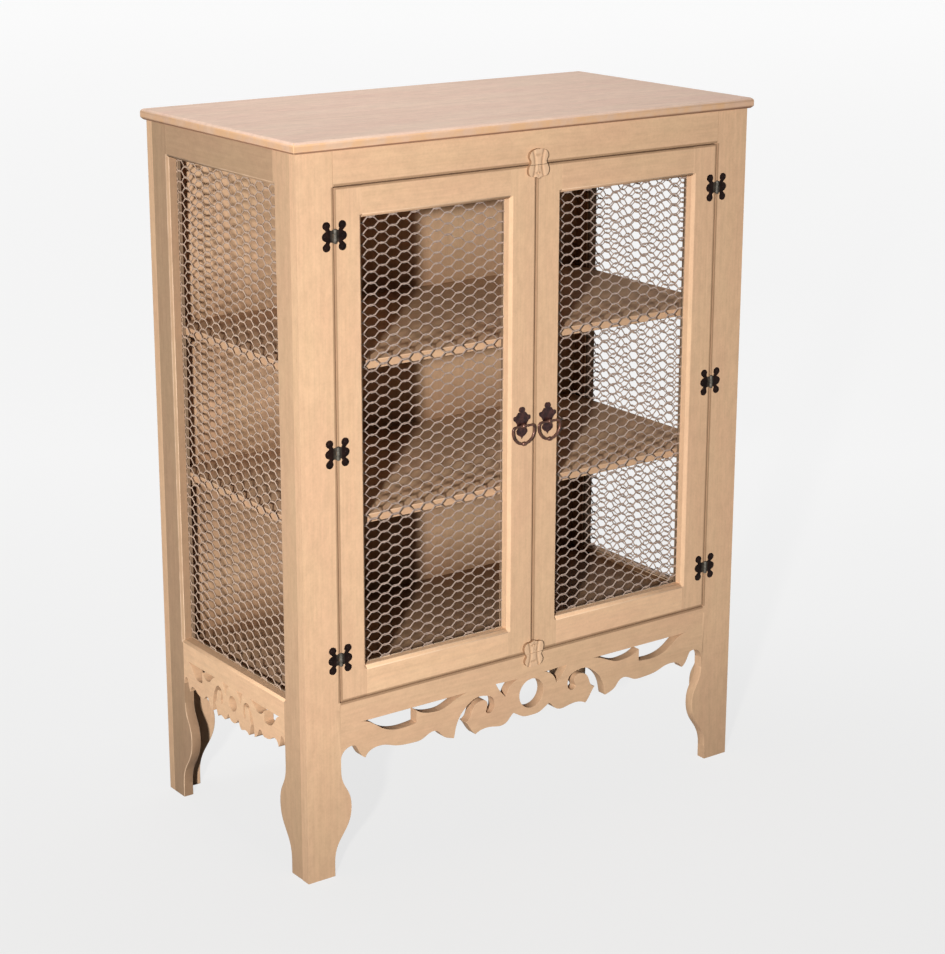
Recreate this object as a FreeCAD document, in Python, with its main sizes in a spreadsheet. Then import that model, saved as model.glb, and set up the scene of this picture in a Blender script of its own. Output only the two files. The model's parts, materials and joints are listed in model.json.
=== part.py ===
# Storage cabinet in bare wood: two wire-mesh doors, wire-mesh sides, two shelves,
# a pierced apron under each opening and legs shaped from the corner boards.
# Millimetres. +X is to the right, +Y to the back and +Z up. The origin lies on the floor,
# under the middle of the outer box.
import FreeCAD, Part
import math
import os
import re

doc = FreeCAD.newDocument("storage_cabinet")
Vector = FreeCAD.Vector
Rotation = FreeCAD.Rotation

# Driving sizes, by the piece that they belong to
SIZES = {
    # cabinet body
    "body_width": 900,
    "body_depth": 460,
    "body_height": 1182,
    "board_thickness": 18,
    "stile_width": 65,
    "top_rail_width": 54,
    "opening_bottom": 298,
    "opening_chamfer": 4,
    # top board
    "top_thickness": 18,
    "top_overhang": 8,
    "back_overhang": 6,
    "top_edge_radius": 6,
    "top_edge_chamfer": 4,
    # legs
    "leg_foot_width": 51,
    "leg_knee_width": 84,
    "leg_ankle_height": 24,
    "leg_knee_height": 116,
    "leg_neck_height": 182,
    # aprons
    "apron_depth": 120,
    "apron_end_depth": 98,
    "side_apron_depth": 101,
    "side_apron_end_depth": 82,
    "front_ring_radius": 26,
    "side_ring_radius": 13,
    "back_rail_width": 63,
    # back, floor, shelves
    "back_panel_thickness": 6,
    "back_panel_lap": 48,
    "floor_thickness": 14,
    "floor_drop": 12,
    "shelf_thickness": 14,
    "lower_shelf_height": 593,
    "upper_shelf_height": 844,
    "shelf_setback": 28,
    "shelf_clearance": 0.8,
    "cleat_width": 22,
    "cleat_length": 30,
    "cleat_height": 16,
    "block_width": 30,
    "block_height": 66,
    # wire mesh and the beads that hold its edges
    "mesh_thickness": 1.2,
    "mesh_lap": 10,
    "mesh_strand": 3,
    "mesh_column_pitch": 36,
    "mesh_row_pitch": 31.2,
    "bead_thickness": 5,
    # doors
    "door_gap": 2,
    "meeting_gap": 3,
    "door_frame_width": 50,
    "door_chamfer": 5,
    "stop_clearance": 0.6,
    # door stop, magnets and strikes
    "stop_length": 240,
    "stop_lap": 24,
    "magnet_offset": 76,
    "magnet_drop": 12,
    "magnet_radius": 5,
    "magnet_length": 8,
    "strike_thickness": 2,
    # hinges
    "hinge_inset": 73,
    "leaf_width": 22,
    "leaf_height": 46,
    "leaf_thickness": 1.2,
    "knuckle_radius": 2.6,
    "knuckle_length": 6.6,
    "knuckle_play": 0.3,
    "knuckle_clearance": 0.15,
    "hinge_pin_radius": 1.2,
    "pin_clearance": 0.06,
    "screw_radius": 1.2,
    "screw_depth": 10,
    "screw_head_radius": 2.3,
    "screw_head_height": 1,
    # pulls
    "pull_height": 700,
    "pull_plate_width": 34,
    "pull_plate_height": 53.5,
    "pull_plate_thickness": 1.8,
    "pull_standoff": 6.5,
    "eye_radius": 4,
    "bolt_radius": 2,
    "bolt_nut_radius": 4.5,
    "bolt_nut_thickness": 3,
    "bolt_nut_seat": 0.2,
    "ring_width": 44,
    "ring_height": 30,
    "ring_corner_radius": 6,
    "ring_rod_radius": 2.2,
    "ring_bead_radius": 3.8,
    "ring_clearance": 0.1,
    # carvings where the doors meet
    "carving_width": 40,
    "carving_height": 48,
    "carving_thickness": 6,
    "carving_saw_cut": 0.5,
}

# Places and sizes that follow from them
PLACES = {
    "half_width": "body_width / 2",
    "front_reach": "max(top_overhang; pull_standoff + eye_radius)",
    "front_face": "(front_reach - body_depth - back_overhang) / 2",
    "back_face": "front_face + body_depth",
    "front_inside": "front_face + board_thickness",
    "back_inside": "back_face - board_thickness",
    "side_inside": "half_width - board_thickness",
    "opening_half": "half_width - stile_width",
    "opening_top": "body_height - top_rail_width",
    "side_opening_front": "front_face + stile_width",
    "side_opening_back": "back_face - stile_width",
    "side_opening_length": "body_depth - 2 * stile_width",
    "panel_front": "back_inside - back_panel_thickness",
    "floor_top": "opening_bottom - floor_drop",
    "shelf_end": "side_inside - mesh_thickness - bead_thickness - shelf_clearance",
    "door_thickness": "board_thickness - stop_clearance",
    "door_back": "front_face + door_thickness",
    "door_outer": "opening_half - door_gap",
    "door_inner": "meeting_gap / 2",
    "door_bottom": "opening_bottom + door_gap",
    "door_top": "opening_top - door_gap",
    "pane_outer": "door_outer - door_frame_width",
    "pane_inner": "door_inner + door_frame_width",
    "pane_bottom": "door_bottom + door_frame_width",
    "pane_top": "door_top - door_frame_width",
    "pin_x": "opening_half - door_gap / 2",
    "pin_y": "front_face - knuckle_radius - knuckle_clearance",
    "pull_x": "door_inner + door_frame_width / 2",
    "ring_y": "front_face - pull_standoff",
    "magnet_height": "door_top - magnet_drop",
}


def fill(name, cells):
    """Puts a group of values into a sheet, one row and one alias each."""
    sheet = doc.addObject("Spreadsheet::Sheet", name)
    for row, (alias, value) in enumerate(cells.items(), 1):
        sheet.set("A%d" % row, alias)
        sheet.set("B%d" % row, value)
        sheet.setAlias("B%d" % row, alias)
    return sheet


def bound(text):
    """Writes the sheet's name before each alias of a formula."""
    def whole(match):
        word = match.group(0)
        return ("Sizes." if word in SIZES else "Places." if word in PLACES else "") + word
    return re.sub(r"[a-z_]+", whole, text)


sizes_sheet = fill("Sizes", {alias: str(value) for alias, value in SIZES.items()})
places_sheet = fill("Places", {alias: "=" + bound(text) for alias, text in PLACES.items()})
doc.recompute()


def at(alias):
    """The value of one alias as a number."""
    sheet = sizes_sheet if alias in SIZES else places_sheet
    return float(sheet.get(alias))


SIDES = {"left": -1, "right": 1}
NEAR = at("mesh_strand") / 100
HINGE_NAMES = ("lower", "middle", "upper")
kept = []


def keep(item, name):
    """Marks an object of the document as a sub-part and names it."""
    item.Label = name
    kept.append(item)
    return item


def low_x(side, inner, outer):
    """Low X of something that lies between two distances from the middle plane."""
    return inner if SIDES[side] > 0 else "-(%s)" % outer


def box(name, x, y, z, length, width, height):
    """A board with its low corner and its sizes given as formulas."""
    item = doc.addObject("Part::Box", name)
    for prop, text in (("Length", length), ("Width", width), ("Height", height)):
        item.setExpression(prop, bound(text))
    for axis, text in (("x", x), ("y", y), ("z", z)):
        item.setExpression(".Placement.Base." + axis, bound(text))
    return item


def cylinder(name, x, y, z, radius, height, axis):
    """A cylinder along the given axis, with its base centre and sizes given as formulas."""
    item = doc.addObject("Part::Cylinder", name)
    item.setExpression("Radius", bound(radius))
    item.setExpression("Height", bound(height))
    item.Placement.Rotation = Rotation(Vector(0, 0, 1), axis)
    for part, text in (("x", x), ("y", y), ("z", z)):
        item.setExpression(".Placement.Base." + part, bound(text))
    return item


def group(name, items):
    """Several separate solids in one node."""
    item = doc.addObject("Part::Compound", name)
    item.Links = items
    return item


def cut(name, base, tool):
    item = doc.addObject("Part::Cut", name)
    item.Base = base
    item.Tool = tool
    return item


def fuse(name, items):
    item = doc.addObject("Part::MultiFuse", name)
    item.Shapes = items
    return item


def feature(name, shape):
    """A sub-part whose shape is worked out in code from the sheet's values."""
    item = doc.addObject("Part::Feature", name)
    item.Shape = shape
    item.Placement = shape.Placement
    return item


# Outlines: a run of two points is a line, a longer run is one smooth curve
def curve(points):
    corners = [Vector(x, y, 0) for x, y in points]
    if len(corners) == 2:
        return Part.LineSegment(*corners)
    smooth = Part.BSplineCurve()
    smooth.interpolate(corners)
    return smooth


def s_curve(start, end):
    """A curve that leaves and arrives straight up, as between two widths of a leg."""
    middle = (start[1] + end[1]) / 2
    bezier = Part.BezierCurve()
    bezier.setPoles([Vector(*p, 0) for p in (start, (start[0], middle), (end[0], middle), end)])
    return bezier.toBSpline()


def mirrored(runs):
    """The same runs across the middle plane, in the order that closes an outline."""
    return [[(-x, y) for x, y in reversed(run)] for run in reversed(runs)]


def sketch(body, name, role, geometry, offset=None):
    """A sketch on one of the body's own origin planes, moved along its normal by a formula."""
    made = body.newObject("Sketcher::SketchObject", name)
    plane = next(item for item in body.Origin.OriginFeatures if item.Role == role)
    made.AttachmentSupport = [(plane, "")]
    made.MapMode = "FlatFace"
    if offset:
        made.setExpression(".AttachmentOffset.Base.z", bound(offset))
    made.addGeometry(geometry, False)
    return made


def padded(name, role, geometry, thickness, x="0", y="0"):
    """A board cut from an outline. On XZ_Plane it grows to the front, on YZ_Plane to the right."""
    body = doc.addObject("PartDesign::Body", name)
    pad = body.newObject("PartDesign::Pad", name + "_pad")
    pad.Profile = sketch(body, name + "_outline", role, geometry)
    pad.setExpression("Length", bound(thickness))
    body.Tip = pad
    body.setExpression(".Placement.Base.x", bound(x))
    body.setExpression(".Placement.Base.y", bound(y))
    return body


def drilled(body, name, centres, radius, depth, offset):
    """Blind holes into the front of a board that lies in the XZ plane."""
    circles = [Part.Circle(Vector(x, z, 0), Vector(0, 0, 1), at(radius)) for x, z in centres]
    pocket = body.newObject("PartDesign::Pocket", name)
    pocket.Profile = sketch(body, name + "_circles", "XZ_Plane", circles, offset)
    pocket.setExpression("Length", bound(depth))
    body.Tip = pocket
    return body


def frustum(name, corner, spans, chamfer, rotation=Rotation()):
    """The bevelled mouth of an opening: wider than the opening by the chamfer at its face."""
    wedge = doc.addObject("Part::Wedge", name)
    span, height = spans
    limits = {
        "Xmin": "-" + chamfer, "Xmax": "%s + %s" % (span, chamfer),
        "Zmin": "-" + chamfer, "Zmax": "%s + %s" % (height, chamfer),
        "X2min": "0", "X2max": span, "Z2min": "0", "Z2max": height,
        "Ymin": "0", "Ymax": chamfer,
    }
    for prop, text in limits.items():
        wedge.setExpression(prop, bound(text))
    wedge.Placement.Rotation = rotation
    for axis, text in zip("xyz", corner):
        wedge.setExpression(".Placement.Base." + axis, bound(text))
    return wedge


# Hinge and screw places, shared by the stiles, the leaves, the pins and the screws
def hinge_heights():
    low = at("door_bottom") + at("hinge_inset")
    high = at("door_top") - at("hinge_inset")
    return [low, (low + high) / 2, high]


LOBE_SHARES = ((0.68, 0.36), (0.68, -0.36), (0.73, 0.0))


def screw_places(side, towards_door):
    """Screw centres of one side of the three hinges: X and Z."""
    way = -SIDES[side] if towards_door else SIDES[side]
    return [
        (SIDES[side] * at("pin_x") + way * across * at("leaf_width"), height + up * at("leaf_height"))
        for height in hinge_heights()
        for across, up in LOBE_SHARES
    ]


# Corner boards. Each corner has a leaf on the front or back and a leaf on the side.
def leg_outline(start):
    """A corner board from the floor up, from its outer edge at start inwards."""
    foot = (at("leg_foot_width"), 0)
    ankle = (at("leg_foot_width"), at("leg_ankle_height"))
    knee = (at("leg_knee_width"), at("leg_knee_height"))
    neck = (at("stile_width"), at("leg_neck_height"))
    head = (at("stile_width"), at("body_height"))
    return [
        ("line", (start, 0), foot), ("line", foot, ankle), ("swell", ankle, knee),
        ("swell", knee, neck), ("line", neck, head), ("line", head, (start, at("body_height"))),
        ("line", (start, at("body_height")), (start, 0)),
    ]


def leg_board(start, way, zero):
    """The outline's curves, drawn from the corner at zero in the given direction."""
    def moved(point):
        return zero + way * point[0], point[1]
    return [
        s_curve(moved(a), moved(b)) if kind == "swell" else curve([moved(a), moved(b)])
        for kind, a, b in leg_outline(start)
    ]


def front_corners():
    for side, sign in SIDES.items():
        name = "front_%s_stile" % side
        board = leg_board(0, -sign, sign * at("half_width"))
        body = padded(name, "XZ_Plane", board, "board_thickness", y="front_inside")
        doc.recompute()
        drilled(body, name + "_screw_holes", screw_places(side, False), "screw_radius",
                "screw_depth", "board_thickness")
        keep(body, name)


def back_corners():
    for side, sign in SIDES.items():
        name = "back_%s_stile" % side
        board = leg_board(0, -sign, sign * at("half_width"))
        keep(padded(name, "XZ_Plane", board, "board_thickness", y="back_face"), name)


def side_corners():
    for side in SIDES:
        x = low_x(side, "side_inside", "half_width")
        mouth = side_mouth(side)
        for place, way, zero in (("front", 1, "front_face"), ("rear", -1, "back_face")):
            name = "%s_side_%s_stile" % (side, place)
            board = leg_board(at("board_thickness"), way, at(zero))
            blank = padded(name + "_blank", "YZ_Plane", board, "board_thickness", x=x)
            keep(cut(name, blank, mouth), name)
        top_rail(side, x, mouth)
        bottom_rail = side_apron(side, x)
        keep(cut("%s_side_bottom_rail" % side, bottom_rail, mouth), "%s_side_bottom_rail" % side)


def side_mouth(side):
    """The bevelled mouth of a side opening, on the outer face."""
    turn = Rotation(Vector(0, 0, 1), -90 if SIDES[side] < 0 else 90)
    corner = (
        low_x(side, "half_width", "half_width"),
        "side_opening_back" if SIDES[side] < 0 else "side_opening_front",
        "opening_bottom",
    )
    spans = ("side_opening_length", "(opening_top - opening_bottom)")
    return frustum("%s_side_mouth" % side, corner, spans, "opening_chamfer", turn)


def top_rail(side, x, mouth):
    name = "%s_side_top_rail" % side
    blank = box(name + "_blank", x, "side_opening_front", "opening_top",
                "board_thickness", "side_opening_length", "top_rail_width")
    keep(cut(name, blank, mouth), name)


# Aprons. Places across are shares of half the span between the corner boards, and places down
# are shares of the apron's depth below the opening. Each run ends at a carved point.
RING_UNDERSIDE_SHARES = [(0, 0.95), (0.039, 0.942), (0.073, 0.892), (0.099, 0.842)]
LOWER_RUN_SHARES = [
    [(0.099, 0.842), (0.117, 0.892), (0.135, 0.95), (0.169, 0.983), (0.203, 0.967),
     (0.239, 0.95), (0.273, 0.958), (0.306, 1)],
    [(0.306, 1), (0.325, 0.933), (0.343, 0.842), (0.358, 0.783)],
    [(0.358, 0.783), (0.332, 0.717), (0.32, 0.617), (0.302, 0.55), (0.278, 0.522),
     (0.255, 0.53), (0.243, 0.575), (0.243, 0.64), (0.251, 0.7)],
    [(0.251, 0.7), (0.229, 0.742), (0.209, 0.708), (0.203, 0.617), (0.21, 0.54), (0.231, 0.488),
     (0.26, 0.46), (0.291, 0.452), (0.323, 0.481), (0.351, 0.542), (0.377, 0.617),
     (0.397, 0.708), (0.41, 0.808), (0.416, 0.9), (0.421, 0.967)],
    [(0.421, 0.967), (0.447, 0.942), (0.478, 0.892), (0.501, 0.808), (0.527, 0.775),
     (0.558, 0.8), (0.592, 0.85), (0.636, 0.858), (0.681, 0.85), (0.727, 0.825),
     (0.779, 0.772), (0.826, 0.767), (0.857, 0.8), (0.878, 0.875)],
    [(0.878, 0.875), (0.9, 0.817), (0.914, 0.735), (0.925, 0.67)],
    [(0.925, 0.67), (0.955, 0.655), (0.983, 0.7), (1, 0.8)],
]
SLIT_RUN_SHARES = [
    [(0.332, 0.342), (0.901, 0.342)],
    [(0.901, 0.342), (0.844, 0.4), (0.792, 0.517), (0.74, 0.583), (0.675, 0.6), (0.616, 0.583)],
    [(0.616, 0.583), (0.616, 0.4)],
    [(0.616, 0.4), (0.584, 0.458), (0.532, 0.492), (0.488, 0.492), (0.429, 0.425), (0.332, 0.342)],
]
EYE_RUN_SHARES = [
    [(0.197, 0.333), (0.075, 0.35)],
    [(0.075, 0.35), (0.118, 0.43), (0.14, 0.567)],
    [(0.14, 0.567), (0.169, 0.475), (0.197, 0.333)],
]
RING_CENTRE_SHARE = 0.617


def apron_outline(centre, half_span, depth, end_depth, ring_radius):
    """The outer outline of a pierced bottom rail and its five openings."""
    top = at("opening_bottom")
    last = LOWER_RUN_SHARES[-1]

    def placed(run, drop=depth):
        return [(across * half_span, top - down * drop) for across, down in run]

    lower = [placed(run) for run in LOWER_RUN_SHARES[:-1]]
    end = placed(last)
    end[-1] = (half_span, top - end_depth)
    lower.append(end)
    ring = placed(RING_UNDERSIDE_SHARES)
    underside = [(-x, z) for x, z in reversed(ring[1:])] + ring
    side_edge = [(half_span, top - end_depth), (half_span, top)]
    top_edge = [(half_span, top), (-half_span, top)]
    outline = [underside, *lower, side_edge, top_edge, *mirrored([*lower, side_edge])]
    holes = [placed(run) for run in SLIT_RUN_SHARES + EYE_RUN_SHARES]
    runs = outline + holes + mirrored(holes)
    shapes = [curve([(centre + x, z) for x, z in run]) for run in runs]
    middle = Vector(centre, top - RING_CENTRE_SHARE * depth, 0)
    return shapes + [Part.Circle(middle, Vector(0, 0, 1), ring_radius)]


def front_apron():
    geometry = apron_outline(0, at("opening_half"), at("apron_depth"), at("apron_end_depth"),
                             at("front_ring_radius"))
    keep(padded("front_bottom_rail", "XZ_Plane", geometry, "board_thickness", y="front_inside"),
         "front_bottom_rail")


def side_apron(side, x):
    centre = (at("side_opening_front") + at("side_opening_back")) / 2
    geometry = apron_outline(centre, at("side_opening_length") / 2, at("side_apron_depth"),
                             at("side_apron_end_depth"), at("side_ring_radius"))
    return padded("%s_side_apron_blank" % side, "YZ_Plane", geometry, "board_thickness", x=x)


# Plain rails, back, floor and shelves
def plain_boards():
    keep(box("front_top_rail", "-opening_half", "front_face", "opening_top",
             "2 * opening_half", "board_thickness", "top_rail_width"), "front_top_rail")
    keep(box("back_top_rail", "-opening_half", "back_inside", "opening_top",
             "2 * opening_half", "board_thickness", "top_rail_width"), "back_top_rail")
    keep(box("back_bottom_rail", "-opening_half", "back_inside", "opening_bottom - back_rail_width",
             "2 * opening_half", "board_thickness", "back_rail_width"), "back_bottom_rail")
    keep(box("back_panel", "-side_inside", "panel_front", "opening_bottom - back_panel_lap",
             "2 * side_inside", "back_panel_thickness",
             "body_height - opening_bottom + back_panel_lap"), "back_panel")
    keep(box("floor_board", "-side_inside", "front_inside", "floor_top - floor_thickness",
             "2 * side_inside", "panel_front - front_inside", "floor_thickness"), "floor_board")
    for name, height in (("lower_shelf", "lower_shelf_height"), ("upper_shelf", "upper_shelf_height")):
        keep(box(name, "-shelf_end", "front_face + shelf_setback", height + " - shelf_thickness",
                 "2 * shelf_end", "panel_front - front_face - shelf_setback", "shelf_thickness"), name)


def corner_boxes(name, heights, length, width, height):
    """Small blocks of one size in all four inner corners, at each height."""
    items = []
    for side in SIDES:
        x = low_x(side, "side_inside - " + length, "side_inside")
        for row, z in enumerate(heights):
            for place, y in (("front", "front_inside"), ("rear", "panel_front - " + width)):
                label = "%s_%s_%s_%d" % (name, side, place, row)
                items.append(box(label, x, y, z, length, width, height))
    keep(group(name, items), name)


def inner_blocks():
    shelf_undersides = [
        "%s - shelf_thickness - cleat_height" % height
        for height in ("lower_shelf_height", "upper_shelf_height")
    ]
    corner_boxes("shelf_cleats", shelf_undersides, "cleat_width", "cleat_length", "cleat_height")
    corner_boxes("glue_blocks", ["floor_top - floor_thickness - block_height"],
                 "block_width", "block_width", "block_height")


def top_board():
    """A slab with a rounded upper edge and a bevel below it, all round."""
    body = doc.addObject("PartDesign::Body", "top_board")
    made = body.newObject("Sketcher::SketchObject", "top_board_outline")
    plane = next(item for item in body.Origin.OriginFeatures if item.Role == "XY_Plane")
    made.AttachmentSupport = [(plane, "")]
    made.MapMode = "FlatFace"
    half = at("half_width") + at("top_overhang")
    front = at("front_face") - at("top_overhang")
    back = at("back_face") + at("back_overhang")
    corners = [(-half, front), (half, front), (half, back), (-half, back)]
    for start, end in zip(corners, corners[1:] + corners[:1]):
        made.addGeometry(curve([start, end]), False)
    pad = body.newObject("PartDesign::Pad", "top_board_pad")
    pad.Profile = made
    pad.setExpression("Length", bound("top_thickness"))
    body.Tip = pad
    body.setExpression(".Placement.Base.z", bound("body_height"))
    doc.recompute()
    for kind, prop, size, level in (
        ("Fillet", "Radius", "top_edge_radius", at("top_thickness")),
        ("Chamfer", "Size", "top_edge_chamfer", 0),
    ):
        last = body.Tip
        edges = [
            "Edge%d" % number for number, edge in enumerate(last.Shape.Edges, 1)
            if all(math.isclose(end.Z, level, abs_tol=NEAR) for end in edge.Vertexes)
        ]
        dressed = body.newObject("PartDesign::" + kind, "top_board_" + kind.lower())
        dressed.Base = (last, edges)
        dressed.setExpression(prop, bound(size))
        body.Tip = dressed
        doc.recompute()
    keep(body, "top_board")


# Wire mesh: one thin holed face, its cells cut off square at the edge of the opening
def clipped(polygon, low, high):
    """The part of a polygon inside a rectangle."""
    for axis, limit, sign in ((0, low[0], 1), (0, high[0], -1), (1, low[1], 1), (1, high[1], -1)):
        kept_points = []
        for a, b in zip(polygon, polygon[1:] + polygon[:1]):
            a_in = sign * (a[axis] - limit) >= 0
            b_in = sign * (b[axis] - limit) >= 0
            if a_in:
                kept_points.append(a)
            if a_in != b_in:
                share = (limit - a[axis]) / (b[axis] - a[axis])
                kept_points.append(tuple(p + share * (q - p) for p, q in zip(a, b)))
        polygon = [p for n, p in enumerate(kept_points) if math.dist(p, kept_points[n - 1]) > NEAR]
        if len(polygon) < 3:
            return []
    return polygon


def area(polygon):
    pairs = zip(polygon, polygon[1:] + polygon[:1])
    return abs(sum(a[0] * b[1] - b[0] * a[1] for a, b in pairs)) / 2


def hexagon(x, z):
    """One cell with level upper and lower sides, inside its twisted wires."""
    half_height = (at("mesh_row_pitch") - at("mesh_strand")) / 2
    point = (at("mesh_column_pitch") * 2 - at("mesh_strand")) / 3
    shoulder = point / 2
    return [(x + point, z), (x + shoulder, z + half_height), (x - shoulder, z + half_height),
            (x - point, z), (x - shoulder, z - half_height), (x + shoulder, z - half_height)]


def mesh_face(low, high):
    """A sheet that laps the frame all round, pierced with the cells that the opening shows."""
    lap = at("mesh_lap")
    pitch, rise = at("mesh_column_pitch"), at("mesh_row_pitch")
    corners = [(low[0] - lap, low[1] - lap), (high[0] + lap, low[1] - lap),
               (high[0] + lap, high[1] + lap), (low[0] - lap, high[1] + lap)]
    middle = ((low[0] + high[0]) / 2, (low[1] + high[1]) / 2)
    columns = math.ceil((high[0] - low[0]) / pitch / 2)
    rows = math.ceil((high[1] - low[1]) / rise / 2)
    wires = []
    for column in range(-columns, columns + 1):
        shift = rise / 2 if column % 2 else 0
        for row in range(-rows - 1, rows + 1):
            cell = clipped(hexagon(middle[0] + column * pitch, middle[1] + row * rise + shift), low, high)
            if cell and area(cell) > at("mesh_strand") ** 2:
                wires.append(Part.makePolygon([Vector(*p, 0) for p in cell[::-1] + cell[-1:]]))
    print("mesh cells", len(wires))
    outer = Part.makePolygon([Vector(*p, 0) for p in corners + corners[:1]])
    return Part.Face([outer, *wires]).extrude(Vector(0, 0, at("mesh_thickness")))


def upright(shape, role):
    """Turns a flat shape's Y up: its face looks to the front, or along X for a side."""
    turned = shape.copy()
    turned.rotate(Vector(0, 0, 0), Vector(1, 0, 0), 90)
    if role == "side":
        turned.rotate(Vector(0, 0, 0), Vector(0, 0, 1), 90)
    return turned


def bead_frame(name, low, high, across, face, base):
    """Four strips over the mesh's lap. Low and high are formulas for the opening."""
    lap = "mesh_lap"
    (low_a, low_z), (high_a, high_z) = low, high
    span = "%s - (%s)" % (high_a, low_a)
    rise = "%s - %s + 2 * %s" % (high_z, low_z, lap)
    strips = []
    for label, a, z, length, height in (
        ("low", low_a, low_z + " - " + lap, span, lap),
        ("high", low_a, high_z, span, lap),
        ("near", "%s - %s" % (low_a, lap), "%s - %s" % (low_z, lap), lap, rise),
        ("far", high_a, "%s - %s" % (low_z, lap), lap, rise),
    ):
        place = (a, face, z) if across == "x" else (face, a, z)
        span_sizes = (length, base, height) if across == "x" else (base, length, height)
        strips.append(box("%s_%s" % (name, label), *place, *span_sizes))
    keep(group(name, strips), name)


def side_meshes():
    low = (at("side_opening_front"), at("opening_bottom"))
    high = (at("side_opening_back"), at("opening_top"))
    for side, sign in SIDES.items():
        sheet = upright(mesh_face(low, high), "side")
        place = at("side_inside") - (at("mesh_thickness") if sign > 0 else 0)
        sheet.translate(Vector(sign * place, 0, 0))
        keep(feature("%s_side_mesh" % side, sheet), "%s_side_mesh" % side)
        face = low_x(side, "side_inside - mesh_thickness - bead_thickness",
                     "(side_inside - mesh_thickness)")
        bead_frame("%s_side_beads" % side, ("side_opening_front", "opening_bottom"),
                   ("side_opening_back", "opening_top"), "y", face, "bead_thickness")


# Doors
def door(side):
    sign = SIDES[side]
    name = "%s_door_" % side
    spans = ("(pane_outer - pane_inner)", "(pane_top - pane_bottom)")
    corner = (low_x(side, "pane_inner", "pane_outer"), "front_face", "pane_bottom")
    mouth = frustum(name + "mouth", corner, spans, "door_chamfer")

    def board(label, inner, outer, z, height):
        return box(name + label, low_x(side, inner, outer), "front_face", z,
                   "%s - %s" % (outer, inner), "door_thickness", height)

    def holes(label, radius, start, depth, places, axis):
        made = []
        for count, (x, z) in enumerate(places):
            item = doc.addObject("Part::Cylinder", "%s%s_%d" % (name, label, count))
            item.setExpression("Radius", bound(radius))
            item.setExpression("Height", bound(depth))
            item.Placement = FreeCAD.Placement(Vector(x, 0, z), Rotation(Vector(0, 0, 1), axis))
            item.setExpression(".Placement.Base.y", bound(start))
            made.append(item)
        return made

    back, front = Vector(0, 1, 0), Vector(0, -1, 0)
    full = "door_top - door_bottom"
    screws = holes("screw_hole", "screw_radius", "front_face", "screw_depth",
                   screw_places(side, True), back)
    bolt = holes("bolt_hole", "bolt_radius", "front_face", "door_thickness",
                 [(sign * at("pull_x"), at("pull_height"))], back)
    recess = holes("strike_recess", "magnet_radius", "door_back", "strike_thickness",
                   [(sign * at("magnet_offset"), at("magnet_height"))], front)
    boards = (
        ("hinge_stile", "pane_outer", "door_outer", "door_bottom", full, screws),
        ("lock_stile", "door_inner", "pane_inner", "door_bottom", full, bolt),
        ("top_rail", "pane_inner", "pane_outer", "pane_top", "door_frame_width", recess),
        ("bottom_rail", "pane_inner", "pane_outer", "door_bottom", "door_frame_width", []),
    )
    for label, inner, outer, z, height, tools in boards:
        blank = board(label + "_blank", inner, outer, z, height)
        tool = fuse(name + label + "_cutter", [mouth, *tools]) if tools else mouth
        keep(cut(name + label, blank, tool), name + label)

    low = (at("pane_inner"), at("pane_bottom"))
    high = (at("pane_outer"), at("pane_top"))
    if sign < 0:
        low, high = (-high[0], low[1]), (-low[0], high[1])
    sheet = upright(mesh_face(low, high), "front")
    sheet.translate(Vector(0, at("door_back") + at("mesh_thickness"), 0))
    keep(feature(name + "mesh", sheet), name + "mesh")
    ends = ("pane_inner", "pane_outer") if sign > 0 else ("-pane_outer", "-pane_inner")
    bead_frame(name + "beads", (ends[0], "pane_bottom"), (ends[1], "pane_top"), "x",
               "door_back + mesh_thickness", "bead_thickness")
    strike = holes("strike", "magnet_radius", "door_back", "strike_thickness",
                   [(sign * at("magnet_offset"), at("magnet_height"))], front)
    keep(strike[0], name + "strike")


def stop_and_magnets():
    """A batten behind the top rail that the doors close on, with a magnet for each door."""
    blank = box("door_stop_blank", "-stop_length / 2", "front_inside", "door_top - stop_lap",
                "stop_length", "board_thickness", "body_height - door_top + stop_lap")
    groups = []
    for use in ("hole", "magnet"):
        groups.append([
            cylinder("%s_%s" % (use, side), low_x(side, "magnet_offset", "magnet_offset"),
                     "front_inside", "magnet_height", "magnet_radius", "magnet_length",
                     Vector(0, 1, 0))
            for side in SIDES
        ])
    keep(cut("door_stop", blank, fuse("door_stop_holes", groups[0])), "door_stop")
    keep(group("catch_magnets", groups[1]), "catch_magnets")


# Butterfly hinges
LEAF_SHARES = {
    "waist": (0.36, 0.2), "neck": (0.42, 0.27), "lobe_top": (0.68, 0.5), "lobe_end": (0.91, 0.29),
    "notch": (0.66, 0.18), "middle_start": (0.8, 0.14), "middle_end": (1.0, 0.0),
}


def leaf_plate():
    """One leaf seen from the front: X away from the pin, Y up, middle at zero."""
    wide, high = at("leaf_width"), at("leaf_height")
    start = at("knuckle_radius") + at("knuckle_play")

    def point(label, sign=1):
        across, up = LEAF_SHARES[label]
        return Vector(across * wide, sign * up * high, 0)

    def half(sign):
        inner = Vector(start, sign * LEAF_SHARES["waist"][1] * high, 0)
        return [
            Part.LineSegment(inner, point("waist", sign)).toShape(),
            Part.LineSegment(point("waist", sign), point("neck", sign)).toShape(),
            Part.Arc(point("neck", sign), point("lobe_top", sign), point("lobe_end", sign)).toShape(),
            Part.LineSegment(point("lobe_end", sign), point("notch", sign)).toShape(),
            Part.LineSegment(point("notch", sign), point("middle_start", sign)).toShape(),
        ]

    middle = Part.Arc(point("middle_start"), point("middle_end"), point("middle_start", -1))
    low = Vector(start, -LEAF_SHARES["waist"][1] * high, 0)
    back = Part.LineSegment(low, Vector(start, -low.y, 0))
    edges = [*half(1), middle.toShape(), *half(-1), back.toShape()]
    wire = Part.Wire(Part.__sortEdges__(edges))
    return Part.Face(wire).extrude(Vector(0, 0, at("leaf_thickness")))


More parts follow.
